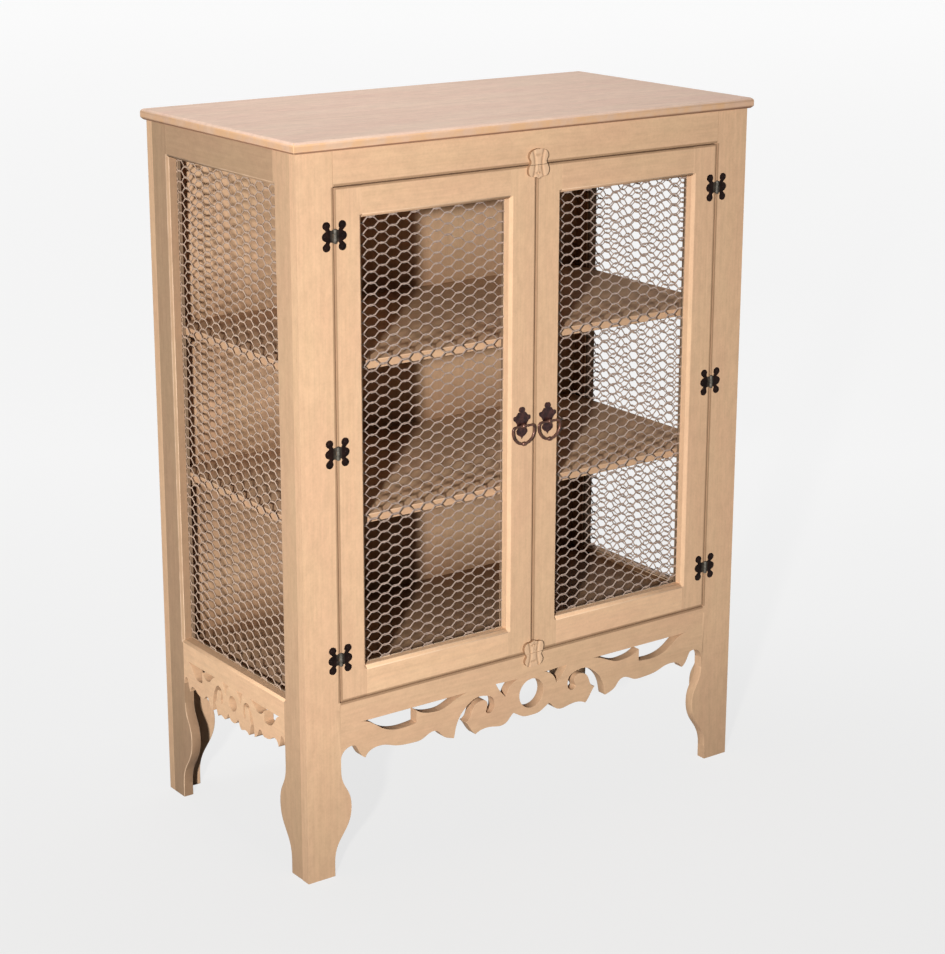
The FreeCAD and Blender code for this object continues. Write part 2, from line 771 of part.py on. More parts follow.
def hinge_leaf(knuckle_rows, bore):
    """A leaf with its knuckles, in hinge coordinates: pin along Z, door face at Y of the pin's."""
    plate = upright(leaf_plate(), "front")
    face = at("knuckle_radius") + at("knuckle_clearance")
    plate.translate(Vector(0, face, 0))
    radius, length = at("knuckle_radius"), at("knuckle_length")
    pitch = length + at("knuckle_play")
    solid = plate
    for row in knuckle_rows:
        base = row * pitch - length / 2
        knuckle = Part.makeCylinder(radius, length, Vector(0, 0, base))
        tab = Part.makeBox(radius + 2 * at("knuckle_play"), at("leaf_thickness"), length,
                           Vector(0, face - at("leaf_thickness"), base))
        solid = solid.fuse([knuckle, tab])
    tall = at("leaf_height")
    solid = solid.cut(Part.makeCylinder(bore, tall, Vector(0, 0, -tall / 2)))
    for across, up in LOBE_SHARES:
        centre = Vector(across * at("leaf_width"), 0, up * at("leaf_height"))
        solid = solid.cut(Part.makeCylinder(at("screw_radius"), face, centre, Vector(0, 1, 0)))
    return solid.removeSplitter()


def at_hinge(shape, side, towards_door, height):
    """A hinge piece moved to its place; leaves of the other hand are mirrored."""
    placed_shape = shape.copy()
    way = -SIDES[side] if towards_door else SIDES[side]
    if way < 0:
        placed_shape = placed_shape.mirror(Vector(0, 0, 0), Vector(1, 0, 0))
    placed_shape.translate(Vector(SIDES[side] * at("pin_x"), at("pin_y"), height))
    return placed_shape


def screw():
    """A wood screw with a domed head on the leaf, pointing along +Y from the board's face."""
    rise, radius = at("screw_head_height"), at("screw_head_radius")
    sphere_radius = (radius ** 2 + rise ** 2) / (2 * rise)
    thickness = at("leaf_thickness")
    ball = Part.makeSphere(sphere_radius, Vector(0, sphere_radius - thickness - rise, 0))
    reach = 2 * sphere_radius
    front = Part.makeBox(2 * reach, reach, 2 * reach, Vector(-reach, -thickness - reach, -reach))
    head = ball.common(front)
    shank = Part.makeCylinder(at("screw_radius"), thickness + at("screw_depth"),
                              Vector(0, -thickness, 0), Vector(0, 1, 0))
    return head.fuse(shank).removeSplitter()


def screws(name, places):
    made = []
    for x, z in places:
        one = screw()
        one.translate(Vector(x, at("front_face"), z))
        made.append(one)
    keep(feature(name, Part.Compound(made)), name)


def hinges():
    frame_leaf = hinge_leaf((-1, 1), at("hinge_pin_radius"))
    door_leaf = hinge_leaf((0,), at("hinge_pin_radius") + at("pin_clearance"))
    heights = hinge_heights()
    frame_leaves = [at_hinge(frame_leaf, side, False, z) for side in SIDES for z in heights]
    keep(feature("hinge_frame_leaves", Part.Compound(frame_leaves)), "hinge_frame_leaves")
    for side in SIDES:
        leaves = [at_hinge(door_leaf, side, True, z) for z in heights]
        name = "%s_door_hinge_leaves" % side
        keep(feature(name, Part.Compound(leaves)), name)
        screws("%s_door_hinge_screws" % side, screw_places(side, True))
    screws("hinge_frame_screws", [place for side in SIDES for place in screw_places(side, False)])
    tall = 3 * at("knuckle_length") + 2 * at("knuckle_play")
    tip = at("knuckle_radius")
    pin = Part.makeCylinder(at("hinge_pin_radius"), tall, Vector(0, 0, -tall / 2))
    for end in (-1, 1):
        cap = Part.makeCone(tip, at("hinge_pin_radius"), tip / 2, Vector(0, 0, end * tall / 2),
                            Vector(0, 0, end))
        pin = pin.fuse(cap)
    pins = [at_hinge(pin, side, False, z) for side in SIDES for z in heights]
    keep(feature("hinge_pins", Part.Compound(pins)), "hinge_pins")


# Pulls
PLATE_RUN_SHARES = [
    [(0.0, 0.58), (0.14, 0.545), (0.17, 0.475), (0.1, 0.405)],
    [(0.1, 0.405), (0.24, 0.395), (0.34, 0.315), (0.46, 0.3), (0.5, 0.23), (0.4, 0.15)],
    [(0.4, 0.15), (0.3, 0.06), (0.22, -0.09)],
    [(0.22, -0.09), (0.3, -0.14), (0.31, -0.22), (0.21, -0.3), (0.1, -0.34), (0.0, -0.42)],
]


def pull_plate(side):
    name = "%s_pull_plate" % side
    wide, high = at("pull_plate_width"), at("pull_plate_height")
    half = [[(x * wide, z * high) for x, z in run] for run in PLATE_RUN_SHARES]
    centre = SIDES[side] * at("pull_x")
    runs = [[(centre + x, at("pull_height") + z) for x, z in run] for run in half + mirrored(half)]
    body = padded(name, "XZ_Plane", [curve(run) for run in runs], "pull_plate_thickness",
                  y="front_face")
    doc.recompute()
    drilled(body, name + "_bolt_hole", [(centre, at("pull_height"))], "bolt_radius",
            "pull_plate_thickness", "pull_plate_thickness")
    keep(body, name)


def pull_bolt(side):
    """A bolt whose head is the ring's eye, and its nut behind the door."""
    thickness = at("pull_plate_thickness")
    eye = Part.makeSphere(at("eye_radius"), Vector(0, -at("pull_standoff"), 0))
    neck = Part.makeCylinder(at("bolt_radius"), at("pull_standoff") - thickness,
                             Vector(0, -at("pull_standoff"), 0), Vector(0, 1, 0))
    reach = at("door_thickness") + at("bolt_nut_seat") + at("bolt_nut_thickness")
    shank = Part.makeCylinder(at("bolt_radius"), thickness + reach, Vector(0, -thickness, 0),
                              Vector(0, 1, 0))
    bore = Part.makeCylinder(at("ring_rod_radius") + at("ring_clearance"), 2 * at("eye_radius"),
                             Vector(-at("eye_radius"), -at("pull_standoff"), 0), Vector(1, 0, 0))
    bolt = eye.fuse([neck, shank]).cut(bore).removeSplitter()
    seat = at("door_thickness")
    nut = Part.makeCylinder(at("bolt_nut_radius"), at("bolt_nut_thickness"), Vector(0, seat, 0),
                            Vector(0, 1, 0))
    nut = nut.cut(shank)
    both = Part.Compound([bolt, nut])
    both.translate(Vector(SIDES[side] * at("pull_x"), at("front_face"), at("pull_height")))
    keep(feature("%s_pull_bolt" % side, both), "%s_pull_bolt" % side)


def pull_ring(side):
    """A D-shaped ring that hangs in the eye by its straight upper bar, with a bead at the bottom."""
    half, corner = at("ring_width") / 2, at("ring_corner_radius")
    bow = -(at("ring_height") - half)
    quarter = corner * (1 - math.sqrt(0.5))
    points = [(-half + corner, 0), (half - corner, 0), (half, -corner), (half, bow),
              (-half, bow), (-half, -corner)]
    p = [Vector(x, 0, z) for x, z in points]
    edges = [
        Part.LineSegment(p[0], p[1]).toShape(),
        Part.Arc(p[1], Vector(half - quarter, 0, -quarter), p[2]).toShape(),
        Part.LineSegment(p[2], p[3]).toShape(),
        Part.Arc(p[3], Vector(0, 0, bow - half), p[4]).toShape(),
        Part.LineSegment(p[4], p[5]).toShape(),
        Part.Arc(p[5], Vector(quarter - half, 0, -quarter), p[0]).toShape(),
    ]
    spine = Part.Wire(edges)
    section = Part.Wire(Part.makeCircle(at("ring_rod_radius"), p[0], Vector(1, 0, 0)))
    ring = spine.makePipeShell([section], True, False)
    print("ring volume share", ring.Volume / (spine.Length * math.pi * at("ring_rod_radius") ** 2))
    bead = Part.makeSphere(at("ring_bead_radius"))
    # its seam is turned away from the rod
    bead.rotate(Vector(0, 0, 0), Vector(1, 0, 0), 90)
    bead.rotate(Vector(0, 0, 0), Vector(0, 1, 0), 90)
    bead.translate(Vector(0, 0, -at("ring_height")))
    ring = ring.fuse(bead)
    ring.translate(Vector(SIDES[side] * at("pull_x"), at("ring_y"), at("pull_height")))
    keep(feature("%s_pull_ring" % side, ring), "%s_pull_ring" % side)


# Carvings over the joint of the doors and the rails, sawn through along the joints
CARVING_RUN_SHARES = [
    [(0.0, 0.5), (0.2, 0.49), (0.4, 0.4), (0.46, 0.24), (0.38, 0.1), (0.4, 0.02)],
    [(0.4, 0.02), (0.48, -0.1), (0.5, -0.26), (0.42, -0.38), (0.22, -0.42), (0.0, -0.5)],
]


def carving(row, level, way):
    """One small carving: its rail part, and its two door parts."""
    wide, high = at("carving_width"), at("carving_height")
    half = [[(x * wide, way * z * high) for x, z in run] for run in CARVING_RUN_SHARES]
    runs = half + mirrored(half)
    edges = [curve([(x, at(level) + z) for x, z in run]).toShape() for run in runs]
    blank = upright(Part.Face(Part.Wire(Part.__sortEdges__(edges))).extrude(
        Vector(0, 0, at("carving_thickness"))), "front")
    blank.translate(Vector(0, at("front_face"), 0))
    saw = at("carving_saw_cut") / 2
    joint = at(level) - way * at("door_gap") / 2
    reach = at("carving_width") + at("carving_height")
    front = at("front_face") - at("carving_thickness")

    def slab(low_side, high_side, low_z, high_z):
        return Part.makeBox(high_side - low_side, at("carving_thickness"), high_z - low_z,
                            Vector(low_side, front, low_z))

    rail_span = (joint + saw, joint + reach) if way > 0 else (joint - reach, joint - saw)
    door_span = (joint - reach, joint - saw) if way > 0 else (joint + saw, joint + reach)
    return {
        "rail": blank.common(slab(-reach, reach, *rail_span)),
        "left": blank.common(slab(-reach, -saw, *door_span)),
        "right": blank.common(slab(saw, reach, *door_span)),
    }


def carvings():
    upper = carving("top", "opening_top", 1)
    lower = carving("bottom", "opening_bottom", -1)
    keep(feature("top_rail_carving", upper["rail"]), "top_rail_carving")
    keep(feature("bottom_rail_carving", lower["rail"]), "bottom_rail_carving")
    for side in SIDES:
        name = "%s_door_carvings" % side
        keep(feature(name, Part.Compound([upper[side], lower[side]])), name)


top_board()
front_corners()
side_corners()
back_corners()
front_apron()
plain_boards()
inner_blocks()
side_meshes()
stop_and_magnets()
for hand in SIDES:
    door(hand)
    pull_plate(hand)
    pull_bolt(hand)
    pull_ring(hand)
hinges()
carvings()
doc.recompute()

# Nothing is written unless every object and every sub-part is sound
for item in doc.Objects:
    if "Invalid" in item.State or "Error" in item.State:
        raise RuntimeError("%s failed: %s" % (item.Label, item.State))
unsound = [item.Label for item in kept if item.Shape.isNull() or not item.Shape.isValid()]
if unsound:
    raise RuntimeError("no sound shape: %s" % ", ".join(unsound))

os.makedirs("parts", exist_ok=True)
for item in kept:
    item.Shape.exportStep("parts/%s.step" % item.Label)
print(len(kept), "sub-parts written")
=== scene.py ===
import bpy
import bmesh
import json
import math
from mathutils import Matrix, Vector
from mathutils.bvhtree import BVHTree


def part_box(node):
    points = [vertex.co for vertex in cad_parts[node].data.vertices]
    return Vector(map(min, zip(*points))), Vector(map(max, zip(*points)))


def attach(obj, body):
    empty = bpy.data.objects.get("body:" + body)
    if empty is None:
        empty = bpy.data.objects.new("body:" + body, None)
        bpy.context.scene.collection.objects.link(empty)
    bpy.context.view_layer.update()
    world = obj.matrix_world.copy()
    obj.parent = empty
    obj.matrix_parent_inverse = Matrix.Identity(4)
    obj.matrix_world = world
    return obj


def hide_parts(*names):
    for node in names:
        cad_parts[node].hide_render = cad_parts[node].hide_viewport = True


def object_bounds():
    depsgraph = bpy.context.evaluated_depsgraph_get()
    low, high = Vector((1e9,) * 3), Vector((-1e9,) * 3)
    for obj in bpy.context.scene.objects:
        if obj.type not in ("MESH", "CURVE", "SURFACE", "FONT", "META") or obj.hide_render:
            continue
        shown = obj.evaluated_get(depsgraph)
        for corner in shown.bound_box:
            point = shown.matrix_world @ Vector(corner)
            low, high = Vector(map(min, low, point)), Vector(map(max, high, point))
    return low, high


# Storage cabinet in bare wood with wire-mesh doors and sides.
# Metres: X to the right, Y to the back, Z up from the floor.

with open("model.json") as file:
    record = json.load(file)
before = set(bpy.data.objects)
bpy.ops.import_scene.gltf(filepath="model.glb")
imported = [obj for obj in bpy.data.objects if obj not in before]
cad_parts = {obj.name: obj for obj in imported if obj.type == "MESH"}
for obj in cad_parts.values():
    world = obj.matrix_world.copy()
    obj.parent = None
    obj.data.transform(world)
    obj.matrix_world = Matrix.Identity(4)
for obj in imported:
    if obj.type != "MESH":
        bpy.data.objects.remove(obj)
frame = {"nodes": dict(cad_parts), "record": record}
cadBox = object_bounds()
nodes = frame["nodes"]
groups = frame["record"]["behaviour"]["bodies"]
bodyOf = {node: body for body, members in groups.items() for node in members}
scene = bpy.context.scene
scene.view_settings.view_transform = "Standard"
print("frame loaded,", len(nodes), "nodes")


# camera, lamps and floor
cameraSet = {
    "focalPixels": 2267.7, "imageWidth": 945, "imageHeight": 954, "axisRow": 429.3, "sensorWidth": 36,
    "place": (-2.1962, -3.0673, 1.6926), "yaw": 36.1, "pitch": 15.63, "roll": 0.14, "seesAsFar": 60,
}
lampSet = {
    "keyPlace": (-3.50, -3.55, 1.85), "keyAim": (-0.34, -0.23, 0.70), "keySize": 0.20, "keyPower": 96,
    "keySpread": 100, "keyColor": (1.0, 0.965, 0.92),
    "skyPlace": (-0.12, 0.35, 3.0), "skyAim": (-0.12, 0.3, 1.0), "skySize": 1.1, "skyPower": 31,
    "skySpread": 180, "skyColor": (0.94, 0.97, 1.0),
}
worldSet = {
    "level": 0.008, "color": (1.0, 0.985, 0.97),
    "seenLevel": 1.0, "seenColor": (0.98, 0.985, 0.99),  # as the camera sees it
}
# shades of the floor as the camera sees it: (share of the way to the far end, level)
floorSet = {
    "half": 40.0, "color": (0.10, 0.099, 0.098), "roughness": 0.9, "shine": 0.1,
    "nearEnd": -2.0, "farEnd": 18.0, "shades": [(0.065, 0.745), (0.20, 0.865), (0.80, 0.925)],
}


def lookMatrix(place, aim, roll=0.0):
    way = (Vector(aim) - Vector(place)).normalized()
    turn = way.to_track_quat("-Z", "Y").to_matrix().to_4x4()
    return Matrix.Translation(place) @ turn @ Matrix.Rotation(roll, 4, "Z")


def addCamera(c):
    data = bpy.data.cameras.new("photoCamera")
    data.sensor_fit = "HORIZONTAL"
    data.sensor_width = c["sensorWidth"]
    data.lens = c["sensorWidth"] * c["focalPixels"] / c["imageWidth"]
    data.shift_y = (c["axisRow"] - c["imageHeight"] / 2) / c["imageWidth"]
    data.clip_end = c["seesAsFar"]
    camera = bpy.data.objects.new("photoCamera", data)
    scene.collection.objects.link(camera)
    yaw, pitch = math.radians(c["yaw"]), math.radians(c["pitch"])
    ahead = Vector((math.sin(yaw) * math.cos(pitch), math.cos(yaw) * math.cos(pitch), -math.sin(pitch)))
    camera.matrix_world = lookMatrix(c["place"], Vector(c["place"]) + ahead, math.radians(c["roll"]))
    scene.camera = camera


def addLamps(c):
    for lamp in ("key", "sky"):
        data = bpy.data.lights.new(lamp + "Lamp", "AREA")
        data.shape = "DISK"
        data.size = c[lamp + "Size"]
        data.energy = c[lamp + "Power"]
        data.color = c[lamp + "Color"]
        data.spread = math.radians(c[lamp + "Spread"])
        made = bpy.data.objects.new(lamp + "Lamp", data)
        scene.collection.objects.link(made)
        made.matrix_world = lookMatrix(c[lamp + "Place"], c[lamp + "Aim"])


def addWorld(c):
    world = bpy.data.worlds.new("studio")
    scene.world = world
    world.use_nodes = True
    tree = world.node_tree
    light = tree.nodes["Background"]
    light.inputs["Color"].default_value = (*c["color"], 1)
    light.inputs["Strength"].default_value = c["level"]
    seen = tree.nodes.new("ShaderNodeBackground")
    seen.inputs["Color"].default_value = (*c["seenColor"], 1)
    seen.inputs["Strength"].default_value = c["seenLevel"]
    mix = tree.nodes.new("ShaderNodeMixShader")
    tree.links.new(seenRays(tree), mix.inputs[0])
    tree.links.new(light.outputs[0], mix.inputs[1])
    tree.links.new(seen.outputs[0], mix.inputs[2])
    tree.links.new(mix.outputs[0], tree.nodes["World Output"].inputs["Surface"])


def seenRays(tree):
    # 1 for rays from the camera, from gloss and through glass
    path = tree.nodes.new("ShaderNodeLightPath")
    total = path.outputs["Is Camera Ray"]
    for name in ("Is Glossy Ray", "Is Transmission Ray"):
        join = tree.nodes.new("ShaderNodeMath")
        join.operation = "MAXIMUM"
        tree.links.new(total, join.inputs[0])
        tree.links.new(path.outputs[name], join.inputs[1])
        total = join.outputs[0]
    return total


def addFloor(c):
    mesh = bmesh.new()
    bmesh.ops.create_grid(mesh, x_segments=1, y_segments=1, size=c["half"])
    data = bpy.data.meshes.new("studioFloor")
    mesh.to_mesh(data)
    mesh.free()
    floor = bpy.data.objects.new("studioFloor", data)
    scene.collection.objects.link(floor)
    material = bpy.data.materials.new("palePaperFloor")
    material.use_nodes = True
    tree = material.node_tree
    shader = tree.nodes["Principled BSDF"]
    shader.inputs["Base Color"].default_value = (*c["color"], 1)
    shader.inputs["Roughness"].default_value = c["roughness"]
    shader.inputs["Specular IOR Level"].default_value = c["shine"]
    yaw = math.radians(cameraSet["yaw"])
    away = addNode(tree, "ShaderNodeVectorMath", {
        0: objectPoints(tree), 1: (math.sin(yaw), math.cos(yaw), 0),
    }, operation="DOT_PRODUCT").outputs["Value"]
    shade = ramp(tree, spread(tree, away, c["nearEnd"], c["farEnd"], 0, 1),
                 [(place, (level, level, level)) for place, level in c["shades"]])
    tree.links.new(shade, shader.inputs["Emission Color"])
    tree.links.new(seenRays(tree), shader.inputs["Emission Strength"])
    data.materials.append(material)


# helpers for the finishes
def startMaterial(name):
    material = bpy.data.materials.new(name)
    material.use_nodes = True
    return material, material.node_tree, material.node_tree.nodes["Principled BSDF"]


def addNode(tree, kind, inputs=None, **settings):
    node = tree.nodes.new(kind)
    for key, value in settings.items():
        setattr(node, key, value)
    for key, value in (inputs or {}).items():
        if isinstance(value, bpy.types.NodeSocket):
            tree.links.new(value, node.inputs[key])
        else:
            node.inputs[key].default_value = value
    return node


def objectPoints(tree, scale=(1, 1, 1), move=(0, 0, 0)):
    coords = addNode(tree, "ShaderNodeTexCoord")
    return addNode(tree, "ShaderNodeMapping", {
        "Vector": coords.outputs["Object"], "Scale": scale, "Location": move,
    }).outputs["Vector"]


def noise(tree, points, scale, detail=3.0, roughness=0.55, distortion=0.0):
    return addNode(tree, "ShaderNodeTexNoise", {
        "Vector": points, "Scale": scale, "Detail": detail, "Roughness": roughness,
        "Distortion": distortion,
    }).outputs["Fac"]


def ramp(tree, factor, stops):
    node = addNode(tree, "ShaderNodeValToRGB", {"Fac": factor})
    node.color_ramp.elements[0].position = stops[0][0]
    node.color_ramp.elements[1].position = stops[-1][0]
    for place, _ in stops[1:-1]:
        node.color_ramp.elements.new(place)
    for element, (_, color) in zip(node.color_ramp.elements, stops):
        element.color = color if len(color) == 4 else (*color, 1)
    return node.outputs["Color"]


def calculate(tree, operation, *values):
    return addNode(tree, "ShaderNodeMath", dict(enumerate(values)), operation=operation).outputs[0]


def multiply(tree, first, second):
    return calculate(tree, "MULTIPLY", first, second)


def distanceTo(tree, value, mark):
    return calculate(tree, "ABSOLUTE", calculate(tree, "SUBTRACT", value, mark))


def blendColors(tree, factor, first, second, kind="MIX"):
    node = addNode(tree, "ShaderNodeMix", data_type="RGBA", blend_type=kind)
    for index, value in ((0, factor), (6, first), (7, second)):
        if isinstance(value, bpy.types.NodeSocket):
            tree.links.new(value, node.inputs[index])
        else:
            node.inputs[index].default_value = value
    return node.outputs[2]


def spread(tree, value, low, high, newLow, newHigh):
    return addNode(tree, "ShaderNodeMapRange", {
        "Value": value, "From Min": low, "From Max": high, "To Min": newLow, "To Max": newHigh,
    }).outputs["Result"]


def bump(tree, layers):
    # layers: (height, strength, distance), the coarsest first
    normal = None
    for height, strength, distance in layers:
        values = {"Height": height, "Strength": strength, "Distance": distance}
        if normal:
            values["Normal"] = normal
        normal = addNode(tree, "ShaderNodeBump", values).outputs["Normal"]
    return normal


addCamera(cameraSet)
addLamps(lampSet)
addWorld(worldSet)
addFloor(floorSet)
print("camera, lamps and floor placed")


# wood
woodSet = {
    "light": (0.775, 0.540, 0.350), "middle": (0.735, 0.497, 0.312), "dark": (0.660, 0.430, 0.262),
    "blush": (0.735, 0.462, 0.300), "arris": (0.800, 0.590, 0.415), "shadeAndGrime": (0.150, 0.070, 0.030),
    "figure": 0.18, "pores": 0.11, "fibre": 0.35, "blushShare": 0.62,
    "shadedBelow": 0.26, "shadedLevel": 0.80, "roughness": (0.74, 0.60), "shine": 0.2,
}
topSet = {
    **woodSet,
    "light": (0.735, 0.545, 0.425), "middle": (0.700, 0.510, 0.395), "dark": (0.620, 0.440, 0.335),
    "blush": (0.690, 0.470, 0.370), "arris": (0.745, 0.460, 0.260), "shadeAndGrime": (0.330, 0.125, 0.050),
    "figure": 0.60, "blushShare": 0.85,
}
# (scale along the grain, scale across it), then what the noise takes: scale, detail, roughness, distortion
grainSet = {
    "figure": ((0.9, 19), (1.4, 3, 0.55, 0.8)), "streaks": ((7, 230), (1.0, 3, 0.65)),
    "patches": ((4.0, 11.0), (1.3, 3, 0.6)), "mottle": ((40, 85), (1.0, 3, 0.6)),
    "dust": ((1, 1), (260, 2, 0.5)), "rub": ((1, 1), (38, 3)),
}
# how each texture's noise is used: (low, high) of the noise, then, where given, of the result;
# pores darken by a depth from a light level; bumps are (strength, distance), the coarsest first
stretchSet = {
    "blush": (0.33, 0.68), "pores": (0.36, 0.60), "poreDepth": 0.26, "poreLight": 1.03,
    "dust": (0.30, 0.62, 0.97, 1.02), "mottle": (0.34, 0.66, 0.945, 1.035),
    "rub": (0.38, 0.62, 0.35, 0.90), "roughness": (0.3, 0.7), "figureStops": (0.32, 0.47, 0.64),
    "bumps": {"figure": (0.08, 0.002), "streaks": (0.20, 0.0006), "dust": (0.14, 0.0003)},
}


def alongGrain(grain, along, across):
    return tuple(along if axis == grain else across for axis in "xyz")


def wearAndShadeOf(tree):
    # red: rubbed edges; green: painted shade in gaps, inside and under edges, together with darker sawn edges
    # and carved hollows
    wearAndShade = addNode(tree, "ShaderNodeAttribute", attribute_name="wearAndShade").outputs["Color"]
    parts = addNode(tree, "ShaderNodeSeparateColor", {"Color": wearAndShade})
    return parts.outputs[0], parts.outputs[1]


# painted shade: the wood is darker along the gaps round and between the doors
gapSet = {"half": 0.00125, "dark": 0.0034, "clear": 0.0050, "shadeAndGrime": 0.54, "frontDepth": 0.0015}


def paintedGapShade(tree, c):
    low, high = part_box("left_door_hinge_stile")
    sideGap = c["half"] - low.x
    endGap = (high.z - low.z) / 2 + c["half"]
    x, y, z = addNode(tree, "ShaderNodeSeparateXYZ", {0: objectPoints(tree)}).outputs
    fromCentre = distanceTo(tree, x, 0)
    fromMiddle = distanceTo(tree, z, (low.z + high.z) / 2)
    beyondEnds = calculate(tree, "GREATER_THAN", fromMiddle, endGap)
    beyondSides = calculate(tree, "GREATER_THAN", fromCentre, sideGap)
    toUpright = calculate(tree, "MINIMUM", distanceTo(tree, fromCentre, sideGap), fromCentre)
    toUpright = calculate(tree, "ADD", toUpright, beyondEnds)
    toLevel = calculate(tree, "ADD", distanceTo(tree, fromMiddle, endGap), beyondSides)
    away = calculate(tree, "MINIMUM", toUpright, toLevel)
    atFront = calculate(tree, "LESS_THAN", y, low.y + c["frontDepth"])
    return multiply(tree, spread(tree, away, c["dark"], c["clear"], c["shadeAndGrime"], 0.0), atFront)


def woodMaterial(name, grain, c, seed=0.0, tone=1.0, gaps=None):
    material, tree, shader = startMaterial(name + "_" + grain)
    place = tuple(seed * share for share in (3.1, 1.7, 2.3))
    stretch = stretchSet

    def texture(kind):
        scales, values = grainSet[kind]
        return noise(tree, objectPoints(tree, alongGrain(grain, *scales), place), *values)

    figure, streaks, patches, dust = (texture(kind) for kind in ("figure", "streaks", "patches", "dust"))
    color = ramp(tree, figure, list(zip(stretch["figureStops"], (c["dark"], c["middle"], c["light"]))))
    color = blendColors(tree, 1 - c["figure"], color, (*c["middle"], 1))
    blush = spread(tree, patches, *stretch["blush"], 0, c["blushShare"])
    color = blendColors(tree, blush, color, (*c["blush"], 1))
    deepest = tone * (1.0 - stretch["poreDepth"] * c["pores"])
    level = spread(tree, streaks, *stretch["pores"], deepest, stretch["poreLight"] * tone)
    level = multiply(tree, level, spread(tree, dust, *stretch["dust"]))
    level = multiply(tree, level, spread(tree, texture("mottle"), *stretch["mottle"]))
    # painted shade: the wood is darker towards the floor
    height = addNode(tree, "ShaderNodeSeparateXYZ", {0: objectPoints(tree)}).outputs["Z"]
    level = multiply(tree, level, spread(tree, height, 0.0, c["shadedBelow"], c["shadedLevel"], 1.0))
    gray = addNode(tree, "ShaderNodeCombineColor", {0: level, 1: level, 2: level}).outputs[0]
    color = blendColors(tree, 1.0, color, gray, "MULTIPLY")
    rubbed, shadeAndGrime = wearAndShadeOf(tree)
    if gaps:
        shadeAndGrime = calculate(tree, "MAXIMUM", shadeAndGrime, paintedGapShade(tree, gaps))
    uneven = spread(tree, texture("rub"), *stretch["rub"])
    color = blendColors(tree, multiply(tree, rubbed, uneven), color, (*c["arris"], 1))
    # rubbed edges turn lighter; the green mark darkens: painted shade, darker sawn edges and carved hollows
    color = blendColors(tree, shadeAndGrime, color, (*c["shadeAndGrime"], 1))
    tree.links.new(color, shader.inputs["Base Color"])
    roughness = spread(tree, streaks, *stretch["roughness"], *c["roughness"])
    tree.links.new(roughness, shader.inputs["Roughness"])
    shader.inputs["Specular IOR Level"].default_value = c["shine"]
    heights = {"figure": figure, "streaks": streaks, "dust": dust}
    shares = {"figure": 1.0, "streaks": c["fibre"], "dust": 1.0}
    layers = [(heights[kind], strength * shares[kind], distance)
              for kind, (strength, distance) in stretch["bumps"].items()]
    tree.links.new(bump(tree, layers), shader.inputs["Normal"])
    return material


# wire and metals
# painted light: the side wire is the same wire as the door wire, given a lighter colour to brighten the
# side's bays
wireSets = {
    "doorWire": {"bright": (0.51, 0.405, 0.345), "dull": (0.36, 0.275, 0.235), "metal": 0.10},
    "sideWire": {"bright": (0.58, 0.44, 0.35), "dull": (0.45, 0.335, 0.26), "metal": 0.05},
}
wireTexture = {
    "spangle": (210, 3, 0.6), "patches": (24, 3, 0.6), "spangleStops": (0.34, 0.66),
    "patchStops": [(0.35, (0.86, 0.84, 0.83)), (0.65, (1.0, 1.0, 1.0))],
    "roughness": (0.3, 0.7, 0.58, 0.40), "bump": (0.15, 0.0002),
}


def wireMaterial(name, c, look):
    material, tree, shader = startMaterial(name)
    points = objectPoints(tree)
    spangle = noise(tree, points, *look["spangle"])
    patches = noise(tree, points, *look["patches"])
    color = ramp(tree, spangle, list(zip(look["spangleStops"], (c["dull"], c["bright"]))))
    tint = ramp(tree, patches, look["patchStops"])
    tree.links.new(blendColors(tree, 1.0, color, tint, "MULTIPLY"), shader.inputs["Base Color"])
    shader.inputs["Metallic"].default_value = c["metal"]
    tree.links.new(spread(tree, spangle, *look["roughness"]), shader.inputs["Roughness"])
    tree.links.new(bump(tree, [(spangle, *look["bump"])]), shader.inputs["Normal"])
    return material


metalSets = {
    "blackIron": {
        "deep": (0.006, 0.003, 0.0025), "worn": (0.020, 0.009, 0.007), "edge": (0.085, 0.074, 0.060),
        "metal": 0.0, "shine": 0.07, "rough": (0.60, 0.42), "scale": 90, "bump": 0.35,
    },
    "barrelSteel": {
        "deep": (0.050, 0.044, 0.037), "worn": (0.115, 0.104, 0.088), "edge": (0.15, 0.14, 0.12),
        "metal": 0.30, "shine": 0.2, "rough": (0.60, 0.48), "scale": 150, "bump": 0.2,
    },
    "antiqueBronze": {
        "deep": (0.060, 0.024, 0.016), "worn": (0.190, 0.082, 0.054), "edge": (0.30, 0.16, 0.11),
        "metal": 0.45, "shine": 0.5, "rough": (0.38, 0.22), "scale": 130, "bump": 0.3,
    },
    "darkBronze": {
        "deep": (0.015, 0.004, 0.005), "worn": (0.078, 0.028, 0.024), "edge": (0.22, 0.11, 0.08),
        "metal": 0.30, "shine": 0.4, "rough": (0.42, 0.26), "scale": 130, "bump": 0.3,
    },
    "zincSteel": {
        "deep": (0.36, 0.35, 0.34), "worn": (0.58, 0.57, 0.56), "edge": (0.66, 0.65, 0.64),
        "metal": 0.95, "shine": 0.5, "rough": (0.46, 0.32), "scale": 220, "bump": 0.15,
    },
    "nickelMagnet": {
        "deep": (0.44, 0.43, 0.41), "worn": (0.66, 0.64, 0.60), "edge": (0.7, 0.68, 0.64),
        "metal": 1.0, "shine": 0.5, "rough": (0.34, 0.20), "scale": 240, "bump": 0.1,
    },
}
metalTexture = {
    "patches": (4, 0.65, 0.3), "grit": (2, 0.5), "gritFiner": 9, "wornStops": (0.38, 0.68),
    "rub": (0.35, 0.6, 0.2, 0.9), "roughness": (0.3, 0.7), "patchDepth": 0.0006, "gritBump": (0.12, 0.0001),
}


